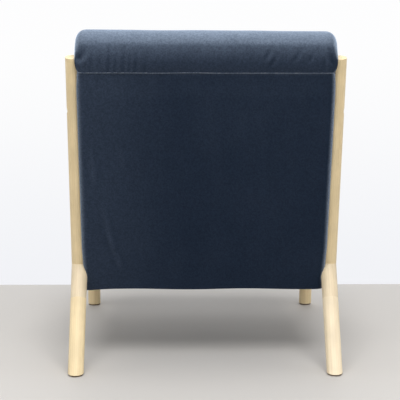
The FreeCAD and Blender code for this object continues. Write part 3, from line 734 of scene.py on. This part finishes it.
class ARMCHAIR_OT_outside_back(bpy.types.Operator):
    """Make the padded velvet panel behind the posts"""

    bl_idname = "armchair.outside_back"
    bl_label = "Outside back"

    leg_gap = 0.2 * MM
    corner = 7 * MM
    puff = 2.5 * MM
    puff_taper = 60 * MM
    wrap = 2 * MM
    tuck = 8 * MM
    lining_gap = 0.1 * MM
    spread = 3.5 * MM
    spread_start = 45 * MM
    spread_taper = 75 * MM
    seam_taper = 63 * MM
    hem_rim = 6 * MM
    seam_rim = 1.5 * MM
    step = 5 * MM
    sag = 3.5 * MM
    sag_start = 240 * MM
    sag_run = 70 * MM
    hem_wave = 1.2 * MM

    def execute(self, context):
        settings = context.scene.armchair_velvet
        low, high = BACK.span("outside_back")
        off_the_leg = beside_leg(self.leg_gap)

        def sides(up):
            near_hem = max(1 - (up - low.z) / self.corner, 0.0)
            near_seam = max(1 - (high.z - up) / self.seam_taper, 0.0)
            above_knee = clamp((up - low.z - self.spread_start) / self.spread_taper)
            rounding = self.corner * (1 - math.sqrt(1 - near_hem**2))
            half = high.x + self.spread * (above_knee - near_seam**2) - rounding
            return -half, half

        def place(across, up, out):
            share = (up - low.z) / (high.z - low.z)
            hem_drop = self.sag * max((across - self.sag_start) / self.sag_run, 0.0) ** 2
            hem_drop += self.hem_wave * math.sin(across * 21 + 0.7)
            return off_the_leg(BACK.point(across, low.y - self.wrap + out, up - hem_drop * (1 - share) ** 8))

        slow = ripple(0.16, 1.6 * MM, 3.0)

        def swell(across, up):
            drag = furrows(DRAG_LINES, across, up - low.z) * settings.crease_depth
            return slow(across, up) - drag - self.puff * clamp((up - high.z) / self.puff_taper + 1)

        panel = padded_panel(
            "outside_back_panel", place, sides, low.z, high.z, high.y - low.y + self.puff + self.wrap,
            (settings.panel_rim, self.hem_rim, self.seam_rim), self.step, swell,
            (self.tuck, self.wrap + self.lining_gap),
        )
        settle(panel, "panel_velvet_painted_rim", "velvet", "outside_back")
        # Painted shade along the drag lines.
        paint_furrow_shading(panel, DRAG_LINES, low)
        return {"FINISHED"}


ARC_STEPS = 36


def arc(start, middle, end):
    """Places along the arc through three complex points, without the last."""
    turn = (end - start) / (middle - start)
    centre = (middle - start) * (turn - abs(turn) ** 2) / (2j * turn.imag) + start
    sweep = cmath.phase((middle - centre) / (start - centre))
    sweep += cmath.phase((end - centre) / (middle - centre))
    return [centre + (start - centre) * cmath.exp(1j * sweep * i / ARC_STEPS) for i in range(ARC_STEPS)]


class ARMCHAIR_OT_top_roll(bpy.types.Operator):
    """Make the padded roll over the top of the back, with its creases and seams"""

    bl_idname = "armchair.top_roll"
    bl_label = "Top roll"

    bulge = 3 * MM
    shoulder = 18 * MM
    end_round = 26 * MM
    step = 2.5 * MM
    under_steps = 16
    easing = 6
    dome_rings = 12
    dome = 4 * MM
    droop = 2 * MM
    top_wave = 1 * MM
    pull = 4.5 * MM
    pull_height = 0.35
    post_radius = 19.5 * MM
    post_taper = 6 * MM
    crease_start = 10 * MM
    crease_run = 30 * MM
    looseness = 0.8 * MM
    seam_radius = 1.1 * MM
    seam_wave = 1.1 * MM
    seam_inset = 5 * MM
    seam_steps = 120

    def section(self, low, high, inset):
        """The roll's section, from the rear seam over the top to the front seam and back below."""
        rear = high.y - self.bulge - inset * 0.5
        front = low.y + self.bulge + inset * 0.5
        top = high.z - inset
        middle = low.z + (high.z - low.z) * 0.45
        swell = max(self.bulge - inset * 0.5, 1 * MM)
        rear_seam = complex(rear, low.z)
        front_seam = complex(front, low.z)
        top_rear = complex(rear - self.shoulder * 0.5, top - self.shoulder)
        top_front = complex(front + self.shoulder, top - self.shoulder)
        over = arc(rear_seam, complex(rear + swell, middle), top_rear)
        over += arc(top_rear, complex((rear + front) / 2, top), top_front)
        over += arc(top_front, complex(front - swell, middle), front_seam)
        for _ in range(self.easing):
            inner = [(over[i - 1] + 2 * over[i] + over[i + 1]) / 4 for i in range(1, len(over) - 1)]
            over = [over[0], *inner, over[-1]]
        steps = self.under_steps
        return over + [front_seam + (rear_seam - front_seam) * i / steps for i in range(steps)]

    def execute(self, context):
        settings = context.scene.armchair_velvet
        low, high = BACK.span("top_roll")
        post_low, post_high = BACK.span("back_post_left")
        post = (post_low + post_high) / 2
        half = high.x
        runs = rolled_spots(2 * half, self.end_round, self.end_round, self.step)
        rings = [(run - half, self.end_round * (1 - fullness)) for run, fullness in runs]

        points = []
        count = 3 * ARC_STEPS + self.under_steps
        for across, inset in rings:
            lowered = self.droop * (0.6 - across / half)
            lowered += self.top_wave * noise.noise(Vector((across * 9, 0.3, 1.7)))
            for spot in self.section(low, high, inset):
                share = (spot.imag - low.z) / (high.z - low.z)
                near_foot = 1 - min(share / self.pull_height, 1.0)
                pulled = self.pull * near_foot**2 * min(abs(across) / half, 1.0) ** 6
                up = spot.imag - lowered * max(share, 0.0)
                points.append((across - math.copysign(pulled, across), spot.real, up))
        faces = []
        for i in range(len(rings) - 1):
            faces += band_faces(range(i * count, (i + 1) * count), range((i + 1) * count, (i + 2) * count))
        for ring, out in ((0, -1), (len(rings) - 1, 1)):
            edge = previous = range(ring * count, (ring + 1) * count)
            centre = Vector(np.mean([points[i] for i in edge], axis=0))
            for step in range(1, self.dome_rings):
                share = 1 - step / self.dome_rings
                lift = Vector((out * self.dome * (1 - share * share), 0, 0))
                new = range(len(points), len(points) + count)
                points += [centre.lerp(Vector(points[i]), share) + lift for i in edge]
                faces += band_faces(previous, new)
                previous = new
            points.append((centre.x + out * self.dome, centre.y, centre.z))
            faces += [(previous[j], previous[(j + 1) % count], len(points) - 1) for j in range(count)]

        def shaped(across, rear, up):
            """A point of the roll with its creases, pressed back where a post passes it."""
            on_rear = clamp((rear - post.y + self.crease_start) / self.crease_run)
            dent = settings.crease_depth * furrows(CREASES, across, up - low.z) * on_rear
            loose = self.looseness * noise.noise(Vector((across * 14, rear * 30, up * 30)))
            rear -= dent - loose
            over_post = clamp((post_high.z + self.post_taper - up) / self.post_taper)
            reach = self.post_radius * math.sqrt(over_post)
            gap = rear - post.y
            if abs(gap) < reach:
                across = math.copysign(min(abs(across), post.x - math.sqrt(reach**2 - gap**2)), across)
            return BACK.point(across, rear, up)

        roll = add_mesh("top_roll_cover", [shaped(*point) for point in points], faces)
        settle(roll, "roll_velvet_painted_rim", "velvet", "top_roll")
        # Painted shade along the creases.
        paint_furrow_shading(roll, CREASES, low)

        seam_half = half - self.seam_inset
        for name, rear in (("rear_seam", high.y - self.bulge), ("front_seam", low.y + self.bulge)):
            path = []
            for i in range(self.seam_steps + 1):
                across = seam_half * (1 - 2 * i / self.seam_steps)
                wave = self.seam_wave * noise.noise(Vector((across * 13, rear * 7, 4.1)))
                path.append(BACK.point(across, rear, low.z + wave))
            settle(welt(name, path, self.seam_radius, False), "seam_highlight_velvet", "velvet")
        return {"FINISHED"}


CLOTH_STEP = 6 * MM
SEWN_BAND = 7 * MM
SOFTENING = 20
FILL_PRESSURE = 4.0
FILL_FRAMES = 20
WELT_EASING = 6


def filled_pad(name, node, axes, through, rest, flat, settings, hold):
    """Copy a CAD pad, press its crown flat, fill it as cloth with its foot sewn down until it domes as high
    as the crown, and hold it against its neighbours. through is the measure that runs through the pad, rest
    its value at the foot and flat its value at the welt. Gives back the piece and a function that follows a
    point of the CAD pad."""
    pad = bpy.data.objects.new(name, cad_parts[node].data.copy())
    bpy.context.scene.collection.objects.link(pad)
    low, high = axes.span(node)
    middle = (low + high) / 2
    out = math.copysign(1.0, flat - rest)
    crown = max((high[through] - flat) * out, (low[through] - flat) * out)

    def flatten(point):
        spot = axes.measure(point)
        spot[through] -= out * max((spot[through] - flat) * out, 0.0) * settings.pad_press
        return axes.point(*spot)

    for vertex in pad.data.vertices:
        vertex.co = flatten(vertex.co)
    bpy.context.view_layer.objects.active = pad
    remesh = pad.modifiers.new("Cloth weave", "REMESH")
    remesh.mode = "VOXEL"
    remesh.voxel_size = CLOTH_STEP
    bpy.ops.object.modifier_apply(modifier=remesh.name)
    sewn = [v.index for v in pad.data.vertices if abs(axes.measure(v.co)[through] - rest) < SEWN_BAND]
    pad.vertex_groups.new(name="Foot").add(sewn, 1.0, "REPLACE")
    smooth = pad.modifiers.new("Soften", "SMOOTH")
    smooth.iterations = SOFTENING
    smooth.vertex_group = "Foot"
    smooth.invert_vertex_group = True
    bpy.ops.object.modifier_apply(modifier=smooth.name)
    start = [vertex.co.copy() for vertex in pad.data.vertices]
    moved = start
    cloth = pad.modifiers.new("Fill", "CLOTH")
    cloth.settings.use_pressure = True
    cloth.settings.uniform_pressure_force = FILL_PRESSURE
    cloth.settings.effector_weights.gravity = 0.0
    cloth.settings.vertex_group_mass = "Foot"
    scene = bpy.context.scene
    for step in range(FILL_FRAMES):
        scene.frame_set(step + 1)
    filled = pad.evaluated_get(bpy.context.evaluated_depsgraph_get()).data
    moved = [vertex.co.copy() for vertex in filled.vertices]
    pad.modifiers.remove(cloth)
    scene.frame_set(1)
    pad.vertex_groups.clear()
    before = [axes.measure(point) for point in start]
    after = [axes.measure(point) for point in moved]
    rises = [(last[through] - first[through]) * out for first, last in zip(before, after)]
    pressed = crown * settings.pad_press
    share = pressed / max(max(rises), pressed)
    for vertex, first, spot, rise in zip(pad.data.vertices, before, after, rises):
        spot[through] = first[through] + out * rise * share
        for way in {0, 1, 2} - {through}:
            side = math.copysign(1.0, first[way] - middle[way])
            drawn = (first[way] - spot[way]) * side
            spot[way] = first[way] - side * clamp(drawn, -settings.pad_draw, settings.pad_draw)
        vertex.co = axes.point(*hold(spot))
    finer = pad.modifiers.new("Finer", "SUBSURF")
    finer.levels = finer.render_levels = 1
    pad.data.shade_smooth()
    finder = KDTree(len(start))
    for i, spot in enumerate(start):
        finder.insert(spot, i)
    finder.balance()

    def follow(point):
        return pad.data.vertices[finder.find(flatten(point))[1]].co.copy()

    return pad, follow


def sew_welt(name, path, radius):
    """Sew a welt along a closed path on a cushion, with the path's kinks eased."""
    count = len(path)
    for _ in range(WELT_EASING):
        path = [(path[i - 1] + path[i] * 2 + path[(i + 1) % count]) / 4 for i in range(count)]
    settle(welt(name, path, radius, True), "slate_velvet", "velvet")


def outline(low, high, corner, step):
    """Places round a rectangle with round corners, in the plane of its first and second measures."""
    path = []
    turns = 8
    near = (low[0] + corner, low[1] + corner)
    far = (high[0] - corner, high[1] - corner)
    centres = (far, (near[0], far[1]), near, (far[0], near[1]))
    for quarter, (x, y) in enumerate(centres):
        for i in range(turns + 1):
            turn = math.pi / 2 * (quarter + i / turns)
            path.append(Vector((x + corner * math.cos(turn), y + corner * math.sin(turn))))
    full = []
    for i, spot in enumerate(path):
        after = path[(i + 1) % len(path)]
        parts = max(1, round((after - spot).length / step))
        full += [spot.lerp(after, j / parts) for j in range(parts)]
    return full


class ARMCHAIR_OT_cushions(bpy.types.Operator):
    """Fill the seat and back cushions as cloth and sew welts along their edges"""

    bl_idname = "armchair.cushions"
    bl_label = "Cushions"

    seat_thickness = 80 * MM
    back_thickness = 62 * MM
    corner = 45 * MM
    edge = 7 * MM
    step = 8 * MM
    leg_gap = 0.5 * MM
    rear_overlap = 16 * MM
    rear_inset = 4 * MM
    lift = 0.3 * MM

    def execute(self, context):
        settings = context.scene.armchair_velvet
        edge = self.edge
        low, high = SEAT.span("seat_pad")
        back_low, back_high = BACK.span("back_pad")
        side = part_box("front_leg_left")[0].x - self.leg_gap

        def hold_seat(spot):
            behind = BACK.measure(SEAT.point(*spot)).y - (back_low.y + self.rear_overlap)
            up = max(spot.z, low.z + self.lift)
            return Vector((clamp(spot.x, -side, side), spot.y - max(behind, 0.0), up))

        top = low.z + self.seat_thickness
        seat, follow = filled_pad("seat_cushion", "seat_pad", SEAT, 2, low.z, top, settings, hold_seat)
        settle(seat, "slate_velvet", "velvet", "seat_pad")
        far = (high.x - edge, high.y - edge - self.rear_inset)
        loop = outline((low.x + edge, low.y + edge), far, self.corner, self.step)
        for name, up in (("seat_top_welt", top - edge), ("seat_low_welt", low.z + edge)):
            sew_welt(name, [follow(SEAT.point(spot.x, spot.y, up)) for spot in loop], settings.welt_radius)

        def hold_back(spot):
            across = clamp(spot.x, back_low.x, back_high.x)
            return Vector((across, min(spot.y, back_high.y), min(spot.z, back_high.z)))

        rest = back_high.y
        front = rest - self.back_thickness
        back, follow = filled_pad("back_cushion", "back_pad", BACK, 1, rest, front, settings, hold_back)
        settle(back, "slate_velvet", "velvet", "back_pad")
        far = (back_high.x - edge, back_high.z - edge)
        loop = outline((back_low.x + edge, back_low.z + edge), far, self.corner, self.step)
        path = [follow(BACK.point(spot.x, front + edge, spot.y)) for spot in loop]
        sew_welt("back_welt", path, settings.welt_radius)
        return {"FINISHED"}


class ARMCHAIR_OT_borders(bpy.types.Operator):
    """Make the velvet borders of the seat box and the velvet sides of the back"""

    bl_idname = "armchair.borders"
    bl_label = "Borders"

    step = 9 * MM
    rims = (4 * MM,) * 3
    thin_rims = (2.4 * MM,) * 3

    def finish(self, cover, node):
        """Dress a cover in velvet in place of its CAD node."""
        settle(cover, "slate_velvet", "velvet", node)

    def execute(self, context):
        low, high = SEAT.span("seat_front_border")
        front = padded_panel(
            "seat_front_cover", lambda across, up, out: SEAT.point(across, high.y - out, up),
            lambda up: (low.x, high.x), low.z, high.z, high.y - low.y, self.rims, self.step,
            ripple(0.09, 1.2 * MM, 5.0),
        )
        self.finish(front, "seat_front_border")

        behind = BACK.span("back_side_panel_left")[0].y
        lean = BACK.rearward.angle(SEAT.rearward)
        covers = (
            ("seat_side_cover", "seat_side_border", SEAT, self.rims, ripple(0.08, 0.8 * MM, 7.0)),
            ("back_side_cover", "back_side_panel", BACK, self.thin_rims, ripple(0.07, 0.3 * MM, 9.0)),
        )
        for side, outward in SIDES.items():
            for name, border, axes, rims, swell in covers:
                low, high = axes.span(f"{border}_{side}")
                inner = low.x if outward > 0 else high.x

                def place(across, up, out):
                    return axes.point(inner + outward * out, across, up)

                def sides(up):
                    if axes is BACK:
                        return low.y, high.y
                    return low.y, min(behind / math.cos(lean) + up * math.tan(lean), high.y)

                cover = padded_panel(
                    f"{name}_{side}", place, sides, low.z, high.z, high.x - low.x, rims, self.step, swell
                )
                self.finish(cover, f"{border}_{side}")
        return {"FINISHED"}


class ARMCHAIR_OT_dust_cover(bpy.types.Operator):
    """Stretch the dust cover under the seat, drawn in between its staples"""

    bl_idname = "armchair.dust_cover"
    bl_label = "Dust cover"

    step = 10 * MM
    sag = 5 * MM
    inset = 0.4 * MM
    pucker = 0.7 * MM
    pucker_share = 1 / 14
    pucker_turn = 70

    def execute(self, context):
        low, high = SEAT.span("dust_cover")
        width = high.x - low.x
        length = high.y - low.y
        columns = round(width / self.step)
        rows = round(length / self.step)
        points = []
        for i in range(rows + 1):
            for j in range(columns + 1):
                u = j / columns
                v = i / rows
                drop = self.inset + self.sag * (16 * u * (1 - u) * v * (1 - v)) ** 0.5
                near_edge = max(1 - min(u, 1 - u, v, 1 - v) / self.pucker_share, 0.0)
                raised = self.pucker * near_edge * math.sin((u + v) * self.pucker_turn)
                points.append(SEAT.point(low.x + width * u, low.y + length * v, high.z - drop + raised))
        cover = add_mesh("dust_cloth", points, grid_faces(rows + 1, columns + 1))
        settle(cover, make_dust_cloth().name, "dust_cloth", "dust_cover")
        return {"FINISHED"}


# Stage

# Each lamp's place, the point that it shines at, its size in metres and its power in watts.
LAMPS = {
    "overhead": ((0.0, 1.1, 2.85), (0.0, 0.2, 0.4), 2.5, 83.0),
    "fill": ((-0.6, 3.8, 1.6), (0.0, 0.0, 0.4), 2.0, 13.0),
    "front_fill": ((0.0, -2.4, 2.2), (0.0, 0.2, 0.8), 2.6, 30.0),
    "left_side": ((2.6, 0.6, 1.2), (0.0, 0.2, 0.5), 1.8, 11.0),
    "right_side": ((-2.6, 0.6, 1.2), (0.0, 0.2, 0.5), 1.8, 10.0),
}


def add_lamp(name, place, aim, size, power):
    """A soft square lamp that shines at a point and isn't seen itself."""
    lamp = bpy.data.lights.new(name, "AREA")
    lamp.size = size
    lamp.energy = power
    stand = bpy.data.objects.new(name, lamp)
    stand.location = place
    stand.rotation_euler = (Vector(aim) - Vector(place)).to_track_quat("-Z", "Y").to_euler()
    stand.visible_camera = False
    bpy.context.scene.collection.objects.link(stand)


class ARMCHAIR_OT_stage(bpy.types.Operator):
    """Lay the floor, put up the wall, hang soft lamps and set up the camera"""

    bl_idname = "armchair.stage"
    bl_label = "Stage"

    def execute(self, context):
        scene = context.scene
        settings = scene.armchair_stage
        scene.view_settings.view_transform = "Standard"

        reach = 9.0
        ground = [(-reach, -reach, 0), (reach, -reach, 0), (reach, reach, 0), (-reach, reach, 0)]
        floor = add_mesh("floor", ground, [(0, 1, 2, 3)])
        shader = Shader.material("pale_floor")
        floor.data.materials.append(shader.finish(Base_Color=settings.floor, Roughness=0.7))

        # The wall glows only for the rays that show the background. From behind it can be seen through.
        foot = -settings.wall_distance
        upright = [(-reach, foot, 0), (reach, foot, 0), (reach, foot, reach), (-reach, foot, reach)]
        wall = add_mesh("wall", upright, [(3, 2, 1, 0)])
        shader = Shader.material("white_wall")
        behind = shader.add("ShaderNodeNewGeometry", output="Backfacing")
        # Painted shade: the wall is darker towards the floor.
        height = shader.dot(shader.place(), (0.0, 0.0, 1.0))
        colour = shader.blend(shader.ramp(height, -0.1, 0.85), settings.shaded_wall_foot, settings.wall)
        glow = shader.add("ShaderNodeEmission", None, {"Color": colour, "Strength": 1.0})
        clear = shader.add("ShaderNodeBsdfTransparent")
        shown = shader.background_seen() * (1 - behind)
        mixed = shader.add("ShaderNodeMixShader", None, {0: shown, 1: clear, 2: glow})
        shader.join(mixed, shader.tree.nodes["Material Output"].inputs["Surface"])
        wall.data.materials.append(shader.owner)
        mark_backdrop(floor, wall)

        scene.world = bpy.data.worlds.new("studio")
        sky = Shader(scene.world)
        light = sky.blend(sky.background_seen(), settings.ambient, settings.wall)
        sky.join(light, sky.tree.nodes["Background"].inputs["Color"])

        for name, lamp in LAMPS.items():
            add_lamp(name, *lamp)

        lens = bpy.data.cameras.new("camera")
        lens.lens = settings.lens
        camera = bpy.data.objects.new("camera", lens)
        camera.location = settings.camera_place
        camera.rotation_euler = Euler(settings.camera_turn)
        scene.collection.objects.link(camera)
        scene.camera = camera
        return {"FINISHED"}


# Add-on

SETTINGS = {
    "armchair_wood": WoodSettings,
    "armchair_velvet": VelvetSettings,
    "armchair_stage": StageSettings,
}
OPERATORS = (
    ARMCHAIR_OT_side_frames,
    ARMCHAIR_OT_inner_frame,
    ARMCHAIR_OT_outside_back,
    ARMCHAIR_OT_top_roll,
    ARMCHAIR_OT_cushions,
    ARMCHAIR_OT_borders,
    ARMCHAIR_OT_dust_cover,
    ARMCHAIR_OT_stage,
)


class ARMCHAIR_PT_tools(bpy.types.Panel):
    """The armchair's pieces and their settings"""

    bl_idname = "ARMCHAIR_PT_tools"
    bl_label = "Lounge armchair"
    bl_space_type = "VIEW_3D"
    bl_region_type = "UI"
    bl_category = "Armchair"

    def draw(self, context):
        for operator in OPERATORS:
            self.layout.operator(operator.bl_idname)
        for name, group in SETTINGS.items():
            box = self.layout.box()
            for setting in group.__annotations__:
                box.prop(getattr(context.scene, name), setting)


def register():
    for group in (*SETTINGS.values(), *OPERATORS, ARMCHAIR_PT_tools):
        bpy.utils.register_class(group)
    for name, group in SETTINGS.items():
        setattr(bpy.types.Scene, name, PointerProperty(type=group))


def unregister():
    for name in SETTINGS:
        delattr(bpy.types.Scene, name)
    for group in (ARMCHAIR_PT_tools, *reversed(OPERATORS), *SETTINGS.values()):
        bpy.utils.unregister_class(group)


def main():
    register()
    settings = bpy.context.scene.armchair_velvet
    # The panel and roll velvets also paint a highlight where the cloth faces sideways; the slate velvet does
    # not.
    make_velvet("slate_velvet", settings, 0.0, 0.0, 0.5)
    make_velvet("panel_velvet_painted_rim", settings, 0.0, 0.9, 0.22)
    make_velvet("roll_velvet_painted_rim", settings, 0.38, 0.9, 0.42)
    make_seam_highlight(settings)
    for operator in OPERATORS:
        group, name = operator.bl_idname.split(".")
        getattr(getattr(bpy.ops, group), name)()
    boxes = {"cad": CAD_BOX, "visual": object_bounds()}
    {name: [list(corner) for corner in box] for name, box in boxes.items()}


if __name__ == "__main__":
    main()
